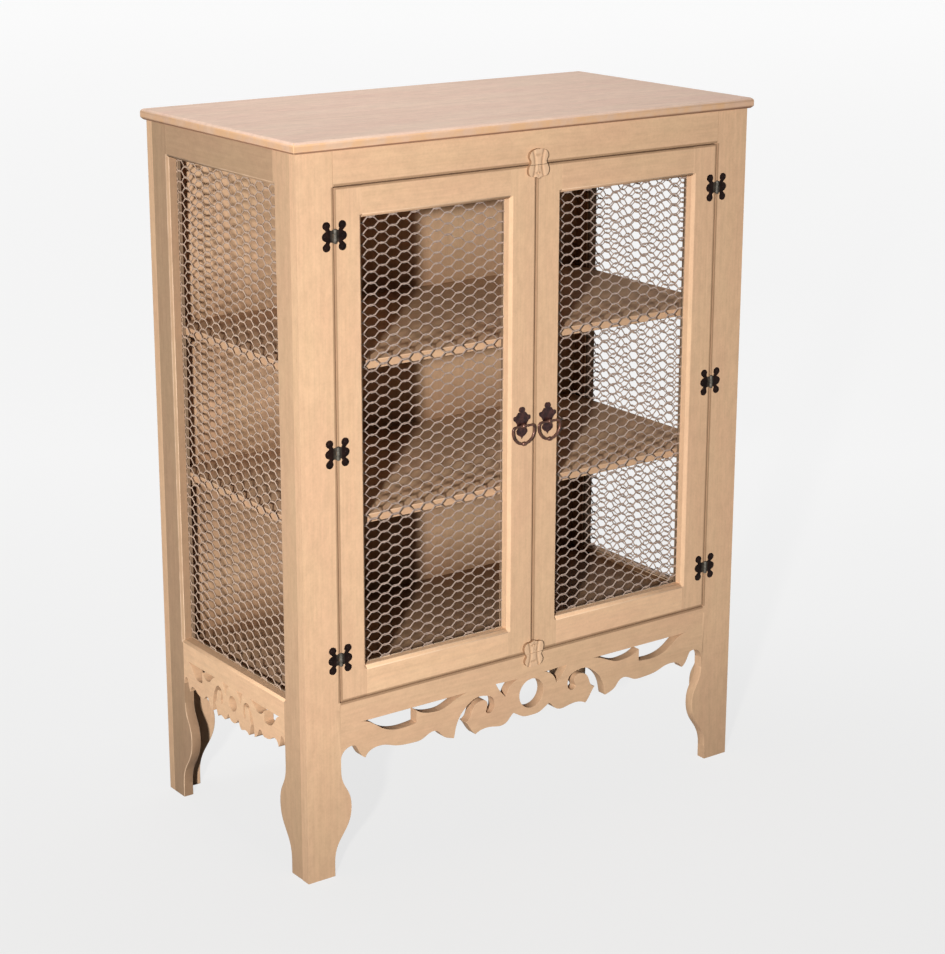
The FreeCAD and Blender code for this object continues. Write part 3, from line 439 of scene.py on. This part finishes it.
def metalMaterial(name, c, look):
    material, tree, shader = startMaterial(name)
    points = objectPoints(tree)
    patches = noise(tree, points, c["scale"], *look["patches"])
    grit = noise(tree, points, c["scale"] * look["gritFiner"], *look["grit"])
    color = ramp(tree, patches, list(zip(look["wornStops"], (c["deep"], c["worn"]))))
    rubbed = multiply(tree, wearAndShadeOf(tree)[0], spread(tree, patches, *look["rub"]))
    tree.links.new(blendColors(tree, rubbed, color, (*c["edge"], 1)), shader.inputs["Base Color"])
    shader.inputs["Metallic"].default_value = c["metal"]
    shader.inputs["Specular IOR Level"].default_value = c["shine"]
    roughness = spread(tree, patches, *look["roughness"], *c["rough"])
    tree.links.new(roughness, shader.inputs["Roughness"])
    layers = [(patches, c["bump"], look["patchDepth"]), (grit, *look["gritBump"])]
    tree.links.new(bump(tree, layers), shader.inputs["Normal"])
    return material


metals = {name: metalMaterial(name, c, metalTexture) for name, c in metalSets.items()}
wires = {name: wireMaterial(name, c, wireTexture) for name, c in wireSets.items()}
print("finishes made")


# what every piece shares: angles in degrees, lengths in metres, and shares of a normal past which
# a face counts as turned to a side, as nearly square to it, or as square to it
shapeSet = {
    "sameSpot": 1e-6, "sameFlat": 0.6, "onCut": 1e-7, "keenAngle": 28,
    "turned": 0.5, "nearlySquare": 0.9, "square": 0.95, "level": 0.99999,
}
# the values named for shade are strengths of painted shade
boardSet = {
    "softArris": 0.0010, "jointArris": 0.00015, "gapArris": 0.0006, "meetingArris": 0.0010,
    "arrisSteps": 2, "jointReach": 0.0003, "jointAngle": 60, "jointRubbed": 0.3, "gapReach": 0.0032,
    "paintedGapShade": 0.35, "gapArrisShade": 0.50, "paintedInsideShade": 0.70, "paintedDoorShade": 0.32, "lowerEdgeShade": 0.80,
    "sharpAngle": 50, "flatWidth": 0.006, "sideTurned": 0.4,
}
# painted shade that darkens the inside, more of it in some places than in others
insideShadeSet = {
    "nodes": ("back_panel", "floor_board", "lower_shelf", "upper_shelf"), "reach": 0.09, "steps": 4,
    "corner": 0.50, "low": 0.34, "rear": 0.60, "right": 0.55, "onTop": 1e-5,
}
shelfTops = [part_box(node)[1].z for node in ("floor_board", "lower_shelf", "upper_shelf")]


def surfaceTree(node):
    return BVHTree.FromPolygons([v.co.copy() for v in nodes[node].data.vertices],
                                [tuple(p.vertices) for p in nodes[node].data.polygons])


woodNodes = [s["node"] for s in frame["record"]["subparts"] if s["material_slot"] == "wood"]
woodTrees = {node: surfaceTree(node) for node in woodNodes}


def copyOfNode(node):
    mesh = bmesh.new()
    mesh.from_mesh(nodes[node].data)
    bmesh.ops.remove_doubles(mesh, verts=mesh.verts, dist=shapeSet["sameSpot"])
    bmesh.ops.dissolve_limit(mesh, angle_limit=math.radians(shapeSet["sameFlat"]), verts=mesh.verts,
                             edges=mesh.edges, delimit={"NORMAL"})
    return mesh


def allOf(mesh):
    return list(mesh.verts) + list(mesh.edges) + list(mesh.faces)


def vertsOf(geom):
    return [g for g in geom if isinstance(g, bmesh.types.BMVert)]


def alongAxis(axis, length=1.0):
    way = Vector((0, 0, 0))
    way[axis] = length
    return way


def cutAcross(mesh, axis, place, geom=None):
    # a line of new edges where the axis passes the place
    bmesh.ops.bisect_plane(mesh, geom=geom or allOf(mesh), plane_co=alongAxis(axis, place),
                           plane_no=alongAxis(axis), dist=shapeSet["onCut"])


def keenEdges(mesh, angle=shapeSet["keenAngle"]):
    return [e for e in mesh.edges if len(e.link_faces) == 2 and e.calc_face_angle(0) > math.radians(angle)]


def wearAndShadeLayer(mesh):
    return mesh.loops.layers.float_color.get("wearAndShade") or mesh.loops.layers.float_color.new("wearAndShade")


def markWearAndShade(mesh, faces, rubbed=0.0, shadeAndGrime=0.0):
    layer = wearAndShadeLayer(mesh)
    for face in faces:
        for loop in face.loops:
            loop[layer] = (rubbed, shadeAndGrime, 0, 1)


def easeEdges(mesh, edges, width, steps, rubbed=1.0, shadeAndGrime=0.0):
    # bevels the edges and marks the new faces
    wearAndShadeLayer(mesh)
    if not edges:
        return
    made = bmesh.ops.bevel(mesh, geom=edges, offset=width, offset_type="OFFSET", segments=steps,
                           profile=0.5, affect="EDGES", clamp_overlap=True, material=-1)
    markWearAndShade(mesh, made["faces"], rubbed, shadeAndGrime)


def broadAndLevel(face, width):
    # a face square to the frame that is wider than a strip of a curve
    if max(abs(part) for part in face.normal) < shapeSet["level"]:
        return False
    return face.calc_area() > width * max(e.calc_length() for e in face.edges)


def finishPiece(name, mesh, material, body, sharpAngle, replaced, flatWidth=None):
    flat = [flatWidth is not None and broadAndLevel(face, flatWidth) for face in mesh.faces]
    data = bpy.data.meshes.new(name)
    mesh.to_mesh(data)
    mesh.free()
    data.set_sharp_from_angle(angle=math.radians(sharpAngle))
    for polygon, level in zip(data.polygons, flat):
        polygon.use_smooth = not level
    for one in (material if isinstance(material, list) else [material]):
        data.materials.append(one)
    piece = bpy.data.objects.new(name, data)
    scene.collection.objects.link(piece)
    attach(piece, body)
    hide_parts(*replaced)
    return piece


def nearBoard(place, node, reach, sameBody):
    for other, tree in woodTrees.items():
        if other != node and (bodyOf[other] == bodyOf[node]) == sameBody:
            if tree.find_nearest(place, reach)[0] is not None:
                return True
    return False


def middleOf(edge):
    return (edge.verts[0].co + edge.verts[1].co) / 2


def facesInside(face, node, c):
    # doors and frames: the face turned to the inside; top and shelves: the underside
    turned = shapeSet["turned"]
    centre = face.calc_center_median()
    if "stile" in node and centre.z < shelfTops[0]:
        return False
    if "stile" in node or "rail" in node or "beads" in node:
        if "side" in node:
            return face.normal.x * centre.x < -c["sideTurned"] * abs(centre.x)
        return face.normal.y < -turned if "back_" in node else face.normal.y > turned
    return face.normal.z < -turned and ("shelf" in node or "top_board" in node)


def insideShadeAt(node, place, c):
    # painted shade: darker where the back meets a shelf and low down, and at the rear of the shelves and
    # floor board, and to the right of the floor board
    low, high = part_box(node)
    if node != "back_panel":
        right = (place.x - low.x) / (high.x - low.x) if node == "floor_board" else 0.0
        return c["rear"] * (place.y - low.y) / (high.y - low.y) + c["right"] * right
    above = min([place.z - top for top in shelfTops if place.z > top - c["onTop"]], default=0.0)
    return c["corner"] * max(0.0, 1 - above / c["reach"]) + c["low"] * max(0.0, 1 - place.z / high.z)


def paintInsideShade(mesh, node, c):
    low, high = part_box(node)
    if node == "back_panel":
        axis, sign = 1, -1
        for top in shelfTops:
            for step in range(c["steps"] + 1):
                cutAcross(mesh, 2, top + c["reach"] * step / c["steps"])
    else:
        axis, sign = 2, 1
        for step in range(1, c["steps"]):
            cutAcross(mesh, 1, low.y + (high.y - low.y) * step / c["steps"])
    layer = wearAndShadeLayer(mesh)
    for face in mesh.faces:
        if face.normal[axis] * sign > shapeSet["nearlySquare"]:
            for loop in face.loops:
                loop[layer] = (0, insideShadeAt(node, loop.vert.co, c), 0, 1)


def markBoard(mesh, node, c, sawnShade, edgeColored):
    low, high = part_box(node)
    thin = min(range(3), key=lambda axis: high[axis] - low[axis])
    rubbed = 1.0 if edgeColored else 0.0
    markWearAndShade(mesh, mesh.faces)
    for face in mesh.faces:
        sawn = abs(face.normal[thin]) < shapeSet["turned"]
        place = face.calc_center_median() + face.normal * c["gapReach"] / 2
        # painted shade in the gaps next to boards of another body
        if sawn and nearBoard(place, node, c["gapReach"] / 2, False):
            markWearAndShade(mesh, [face], 0, c["paintedGapShade"])
        # painted shade on faces turned to the inside and on undersides
        elif facesInside(face, node, c):
            markWearAndShade(mesh, [face], 0, c["paintedDoorShade" if "_door_" in node else "paintedInsideShade"])
        elif sawn:
            # painted shade: the coloured edge is darkest on its underside, under the overhang
            lower = c["lowerEdgeShade"] * min(1.0, max(0.0, -2 * face.normal.z)) if edgeColored else 0.0
            markWearAndShade(mesh, [face], rubbed, max(lower, sawnShade))


def easeBoard(mesh, node, c, sawnShade):
    edges = keenEdges(mesh)
    joints = {e for e in edges if nearBoard(middleOf(e), node, c["jointReach"], True)}
    gaps = {e for e in edges if e not in joints and nearBoard(middleOf(e), node, c["gapReach"], False)}
    meeting = {e for e in gaps if "lock_stile" in node and abs(middleOf(e).x) < c["gapReach"]}
    free = [e for e in edges if e not in joints and e not in gaps]
    steps, shadeAndGrime = c["arrisSteps"], c["gapArrisShade"]
    # painted shade on the bevels along the gaps
    easeEdges(mesh, list(meeting), c["meetingArris"], steps, 0, shadeAndGrime)
    others = [e for e in gaps if e.is_valid and e not in meeting]
    easeEdges(mesh, others, c["gapArris"], steps, 0, shadeAndGrime)
    easeEdges(mesh, [e for e in free if e.is_valid], c["softArris"], steps, 1.0, sawnShade / 2)
    easeEdges(mesh, keenEdges(mesh, c["jointAngle"]), c["jointArris"], 1, c["jointRubbed"])


def dressBoard(node, material, c, sawnShade=0.0, edgeColored=False):
    mesh = copyOfNode(node)
    low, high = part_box(node)
    if low.z < shelfTops[0] < high.z and "stile" in node:
        cutAcross(mesh, 2, shelfTops[0])
    markBoard(mesh, node, c, sawnShade, edgeColored)
    if node in insideShadeSet["nodes"]:
        paintInsideShade(mesh, node, insideShadeSet)
    easeBoard(mesh, node, c, sawnShade)
    return finishPiece(node + "_dressed", mesh, material, bodyOf[node], c["sharpAngle"], [node],
                       c["flatWidth"])


# (words in the node's name, grain, tone, shade of sawn edges), the first match holds
# painted shade: the lower tones of the side stiles and side top rail stand in for the side's weaker light,
# and the beads' dark tone for the shade behind the nets; sawn edges are darker partly as end grain and partly
# as painted shade on the side reveals and the shelf edges
boardRules = [
    ("side_front_stile", "z", 0.83, 0.20), ("side_rear_stile", "z", 0.62, 0.24), ("stile", "z", 1.0, 0.0),
    ("top_board", "x", 1.0, 0.0), ("beads", "z", 0.26, 0.0),
    ("side_top_rail", "y", 0.65, 0.30), ("side_bottom_rail", "y", 1.18, 0.34),
    ("front_bottom_rail", "x", 0.98, 0.26), ("door_bottom_rail", "x", 1.10, 0.0), ("rail", "x", 0.98, 0.0),
    ("back_panel", "z", 0.87, 0.0), ("floor_board", "x", 0.84, 0.0), ("shelf_cleats", "y", 0.45, 0.0),
    ("shelf", "x", 1.14, 0.34), ("glue_blocks", "z", 0.40, 0.0), ("door_stop", "x", 0.90, 0.0),
]
seedStep = 0.37  # from one board's figure to the next
carvedNodes = [n for n in woodNodes if "carving" in n]
for count, node in enumerate(woodNodes):
    if node in carvedNodes:
        continue
    grain, tone, sawnShade = next(rule[1:] for rule in boardRules if rule[0] in node)
    if node == "top_board":
        wood = woodMaterial("topWood", grain, topSet, seedStep * count, tone)
        dressBoard(node, wood, boardSet, 0.0, True)
    else:
        gaps = gapSet if "front_" in node or "_door_" in node else None
        wood = woodMaterial("bareWood", grain, woodSet, seedStep * count, tone, gaps)
        dressBoard(node, wood, boardSet, sawnShade)
print("boards dressed:", len(woodNodes) - len(carvedNodes))


# woven wire
netSet = {
    "columnPitch": 0.0208, "rowPitch": 0.0173, "twistLength": 0.0142, "wireRadius": 0.00114,
    "sides": 5, "twistSteps": 5, "seamWay": (1, 0, 0.55), "mergeShare": 0.3, "sharpAngle": 60,
    "lap": 0.010, "lapUsed": 0.006,  # how far past the opening the plain net reaches, and the wire
    # woven wire is never quite even: (share, radians for each metre along the first and the second way)
    "waver": 0.0005, "waverX": ((1, 31, 9), (0.6, 83, -40)), "waverZ": ((1, 27, 17), (0.6, 71, -52)),
}


def wavePoints(c):
    # one full wave of one wire: a twist below, a rise, a twist above, a fall
    half, rise, r = c["twistLength"] / 2, c["rowPitch"] / 2, c["wireRadius"]
    points = []
    for middle, level, start in ((0.0, 0.0, math.pi / 2), (c["columnPitch"], rise, -math.pi / 2)):
        for step in range(c["twistSteps"] + 1):
            share = step / c["twistSteps"]
            angle = start + 2 * math.pi * share
            points.append(Vector((middle - half + 2 * half * share, r * math.cos(angle),
                                  level + r * math.sin(angle))))
    points.append(points[0] + Vector((2 * c["columnPitch"], 0, 0)))
    return points


def addWave(mesh, c):
    points = wavePoints(c)
    ring = bmesh.ops.create_circle(mesh, cap_ends=False, radius=c["wireRadius"],
                                   segments=c["sides"])["verts"]
    way = Vector((0, 0, 1))
    place = Vector((0, 0, 0))
    edges = list({e for v in ring for e in v.link_edges})
    for index, point in enumerate(points):
        before = points[index - 1] if index else point - (points[-1] - points[-2])
        after = points[index + 1] if index + 1 < len(points) else point + (points[1] - points[0])
        ahead = ((point - before).normalized() + (after - point).normalized()).normalized()
        if index in (0, len(points) - 1):
            ahead = Vector(c["seamWay"]).normalized()
        if index:
            made = bmesh.ops.extrude_edge_only(mesh, edges=edges)["geom"]
            ring = vertsOf(made)
            edges = [g for g in made if isinstance(g, bmesh.types.BMEdge) and all(v in ring for v in g.verts)]
        bmesh.ops.translate(mesh, vec=point - place, verts=ring)
        bmesh.ops.rotate(mesh, cent=point, matrix=way.rotation_difference(ahead).to_matrix(), verts=ring)
        place, way = point, ahead


def waver(first, second, waves):
    return sum(share * math.sin(a * first + b * second) for share, a, b in waves)


def addNet(node, c, side):
    low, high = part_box(node)
    length = (high.y - low.y) if side else (high.x - low.x)
    height = high.z - low.z
    mesh = bmesh.new()
    addWave(mesh, c)
    period = 2 * c["columnPitch"]
    waves = math.ceil(length / period) + 1
    unit = allOf(mesh)
    for index in range(1, waves):
        made = bmesh.ops.duplicate(mesh, geom=unit)["geom"]
        bmesh.ops.translate(mesh, vec=(index * period, 0, 0), verts=vertsOf(made))
    bmesh.ops.remove_doubles(mesh, verts=mesh.verts, dist=c["wireRadius"] * c["mergeShare"])
    unit = allOf(mesh)
    rows = math.ceil(height / (c["rowPitch"] / 2)) + 1
    for index in range(1, rows):
        made = bmesh.ops.duplicate(mesh, geom=unit)["geom"]
        shift = -c["columnPitch"] if index % 2 else 0
        bmesh.ops.translate(mesh, vec=(shift, 0, index * c["rowPitch"] / 2), verts=vertsOf(made))
    middle = Vector(((waves * period - c["columnPitch"]) / 2, 0, (rows - 1) * c["rowPitch"] / 4))
    bmesh.ops.translate(mesh, vec=-middle, verts=mesh.verts)
    for v in mesh.verts:
        x, z = v.co.x, v.co.z
        v.co.x += c["waver"] * waver(z, x, c["waverX"])
        v.co.z += c["waver"] * waver(x, z, c["waverZ"])
    trim = c["lap"] - c["lapUsed"]
    for axis, limit in ((0, length / 2 - trim), (2, height / 2 - trim)):
        for sign in (-1, 1):
            normal = alongAxis(axis, sign)
            bmesh.ops.bisect_plane(mesh, geom=allOf(mesh), plane_co=normal * limit, plane_no=normal,
                                   clear_outer=True)
    bmesh.ops.holes_fill(mesh, edges=[e for e in mesh.edges if e.is_boundary], sides=0)
    bmesh.ops.recalc_face_normals(mesh, faces=mesh.faces)
    if side:
        quarter = Matrix.Rotation(math.radians(90), 3, "Z")
        bmesh.ops.rotate(mesh, cent=(0, 0, 0), matrix=quarter, verts=mesh.verts)
    bmesh.ops.translate(mesh, vec=(low + high) / 2, verts=mesh.verts)
    piece = finishPiece(node + "_woven", mesh, wires["sideWire" if side else "doorWire"], bodyOf[node],
                        c["sharpAngle"], [node])
    print(piece.name, len(piece.data.polygons), "faces")


for node in ("left_door_mesh", "right_door_mesh"):
    addNet(node, netSet, False)
for node in ("left_side_mesh", "right_side_mesh"):
    addNet(node, netSet, True)


# ironwork
ironSet = {
    "sharpAngle": 30,
    # (width of the softened edge, steps)
    "leafEdge": (0.0003, 2), "pinEdge": (0.0002, 1), "screwEdge": (0.0003, 2), "plateEdge": (0.0010, 4),
    "boltEdge": (0.0002, 1), "ringEdge": (0.0001, 1), "strikeEdge": (0.0002, 2), "magnetEdge": (0.0003, 2),
    # the leaves: the barrel, and the worn metal that fades away from it
    "barrelReach": 0.0030, "rubbedReach": (0.0045, 0.0085), "arrisRubbed": 0.30,
}
pinX = next(abs(j["pos_m"][0]) for j in frame["record"]["behaviour"]["joints"] if "hinges" in j["name"])


def dressMetal(node, material, edge):
    mesh = copyOfNode(node)
    markWearAndShade(mesh, mesh.faces)
    easeEdges(mesh, keenEdges(mesh), *ironSet[edge])
    return finishPiece(node + "_dressed", mesh, material, bodyOf[node], ironSet["sharpAngle"],
                       [node])


def dressLeaves(node, c):
    mesh = copyOfNode(node)
    markWearAndShade(mesh, mesh.faces)
    easeEdges(mesh, keenEdges(mesh), *c["leafEdge"], c["arrisRubbed"])
    near, far = c["rubbedReach"]
    for place in [side * pinX + away for side in (-1, 1) for away in (-far, -near, near, far)]:
        cutAcross(mesh, 0, place)
    layer = wearAndShadeLayer(mesh)
    for face in mesh.faces:
        if abs(abs(face.calc_center_median().x) - pinX) < c["barrelReach"]:
            face.material_index = 1
        for loop in face.loops:
            away = abs(abs(loop.vert.co.x) - pinX)
            rubbed = max(loop[layer][0], min(1.0, max(0.0, (far - away) / (far - near))))
            loop[layer] = (rubbed, 0, 0, 1)
    finishPiece(node + "_dressed", mesh, [metals["blackIron"], metals["barrelSteel"]], bodyOf[node],
                c["sharpAngle"], [node])


for node in ("hinge_frame_leaves", "left_door_hinge_leaves", "right_door_hinge_leaves"):
    dressLeaves(node, ironSet)
dressMetal("hinge_pins", metals["barrelSteel"], "pinEdge")
for node in ("hinge_frame_screws", "left_door_hinge_screws", "right_door_hinge_screws"):
    dressMetal(node, metals["blackIron"], "screwEdge")
for side in ("left", "right"):
    dressMetal(side + "_pull_plate", metals["darkBronze"], "plateEdge")
    dressMetal(side + "_pull_bolt", metals["antiqueBronze"], "boltEdge")
    dressMetal(side + "_pull_ring", metals["antiqueBronze"], "ringEdge")
    dressMetal(side + "_door_strike", metals["zincSteel"], "strikeEdge")
dressMetal("catch_magnets", metals["nickelMagnet"], "magnetEdge")
print("ironwork dressed")


# carvings, sawn through along the joints but cut with one pattern
carvingSet = {
    "cell": 0.0012, "softArris": 0.0012, "arrisSteps": 2, "wallDarkening": 0.70, "rimDarkening": 0.10,
    "grooveDepth": 0.0013, "grooveDarkening": 0.26, "ridgeRubbed": 0.35,
    # shares of a plaque's half width or height: the side grooves and their bow, and the ends' grooves
    "grooveShares": (0.34, 0.24), "grooveWidth": 0.11, "endPlace": 0.60, "endNarrower": 0.7, "endHalf": 0.5,
    "sawReach": 0.0015, "onFront": 1e-6, "boxRoom": 1e-4, "sharpAngle": 40, "seed": 0.2,
}


def plaqueBoxes():
    # the upper and the lower plaque, as wholes
    middle = (cadBox[0][2] + cadBox[1][2]) / 2
    boxes = []
    for above in (True, False):
        points = [v.co for node in carvedNodes for v in nodes[node].data.vertices
                  if (v.co.z > middle) == above]
        boxes.append([Vector([pick(p[axis] for p in points) for axis in range(3)]) for pick in (min, max)])
    return boxes


def onSawLine(edge, c):
    return edge.verts[0].co.y == edge.verts[1].co.y and abs(middleOf(edge).x) < c["sawReach"]


def carvedShare(u, v, c):
    # 1 in the bottom of a groove, 0 on the plain surface
    bowed = c["grooveShares"][0] + c["grooveShares"][1] * v * v
    sides = math.exp(-((abs(u) - bowed) / c["grooveWidth"]) ** 2)
    end = math.exp(-((abs(v) - c["endPlace"]) / (c["endNarrower"] * c["grooveWidth"])) ** 2)
    return max(sides, end * max(0.0, 1 - (u / c["endHalf"]) ** 2))


def dressCarving(node, material, c):
    mesh = copyOfNode(node)
    markWearAndShade(mesh, mesh.faces)
    # the walls, the rims and the bottoms of the grooves are made darker
    walls = [f for f in mesh.faces if abs(f.normal.y) < shapeSet["turned"]]
    markWearAndShade(mesh, walls, 0, c["wallDarkening"])
    rims = [e for e in keenEdges(mesh)
            if {round(f.normal.y) for f in e.link_faces} == {-1, 0} and not onSawLine(e, c)]
    easeEdges(mesh, rims, c["softArris"], c["arrisSteps"], 1.0, c["rimDarkening"])
    low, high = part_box(node)
    for axis in (0, 2):
        for step in range(1, math.ceil((high[axis] - low[axis]) / c["cell"])):
            fronts = [f for f in mesh.faces if f.normal.y < -shapeSet["square"]]
            geom = list({v for f in fronts for v in f.verts}) + list({e for f in fronts for e in f.edges})
            cutAcross(mesh, axis, low[axis] + step * c["cell"], geom + fronts)
    layer = wearAndShadeLayer(mesh)
    front = min(v.co.y for v in mesh.verts)
    fields = []
    for v in mesh.verts:
        wall = any(abs(f.normal.y) < shapeSet["turned"] for f in v.link_faces)
        if v.co.y < front + c["onFront"] and not wall:
            lowest, highest = next(box for box in plaques
                                   if box[0].z - c["boxRoom"] <= v.co.z <= box[1].z + c["boxRoom"])
            u = (2 * v.co.x - lowest.x - highest.x) / (highest.x - lowest.x)
            w = (2 * v.co.z - lowest.z - highest.z) / (highest.z - lowest.z)
            fields.append((v, carvedShare(u, w, c)))
    for v, share in fields:
        v.co.y += share * c["grooveDepth"]
        for loop in v.link_loops:
            loop[layer] = (c["ridgeRubbed"] * (1 - share), share * c["grooveDarkening"], 0, 1)
    return finishPiece(node + "_carved", mesh, material, bodyOf[node], c["sharpAngle"], [node])


plaques = plaqueBoxes()
for node in carvedNodes:
    wood = woodMaterial("carvedWood", "z", woodSet, carvingSet["seed"], 1.0)
    dressCarving(node, wood, carvingSet)
print("carvings made")
